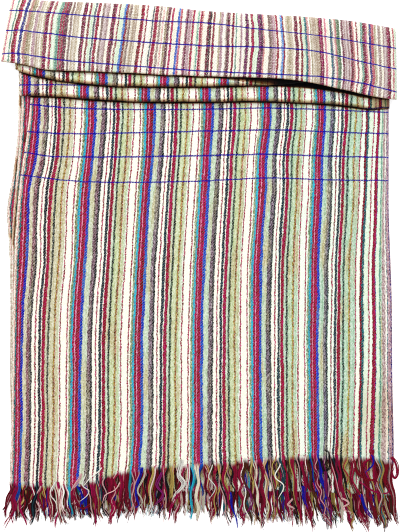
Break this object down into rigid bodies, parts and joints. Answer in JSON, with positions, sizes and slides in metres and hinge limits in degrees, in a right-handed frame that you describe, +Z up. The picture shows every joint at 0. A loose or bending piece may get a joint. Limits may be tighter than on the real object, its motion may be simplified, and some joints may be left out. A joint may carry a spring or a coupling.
{
  "type": "folded striped stole",
  "caption": "Hand-woven twill stole with warp stripes and yarn fringes, folded flat in layers, its far end turned over as a flap.",
  "frame": {"origin": "middle of the footprint, on the surface that the stole lies on", "axes": "+X across the width to the right, +Y along the warp from the fringes to the folded far end, +Z up"},
  "size_m": [0.6318, 0.8458, 0.0333],
  "materials": {
    "face_cloth": "striped wool twill, bright face, soft sheen",
    "reverse_cloth": "striped wool twill, paler reverse, soft sheen",
    "under_cloth": "striped wool twill, hidden layers",
    "fringe_yarn": "loose warp yarns, matt wool"
  },
  "bodies": {
    "root": {"under_layers": "under_cloth", "front_panel": "face_cloth", "fold_lower": "face_cloth", "fold_upper": "face_cloth", "flap": "reverse_cloth", "fringe_front": "fringe_yarn", "fringe_under": "fringe_yarn"}
  },
  "joints": []
}
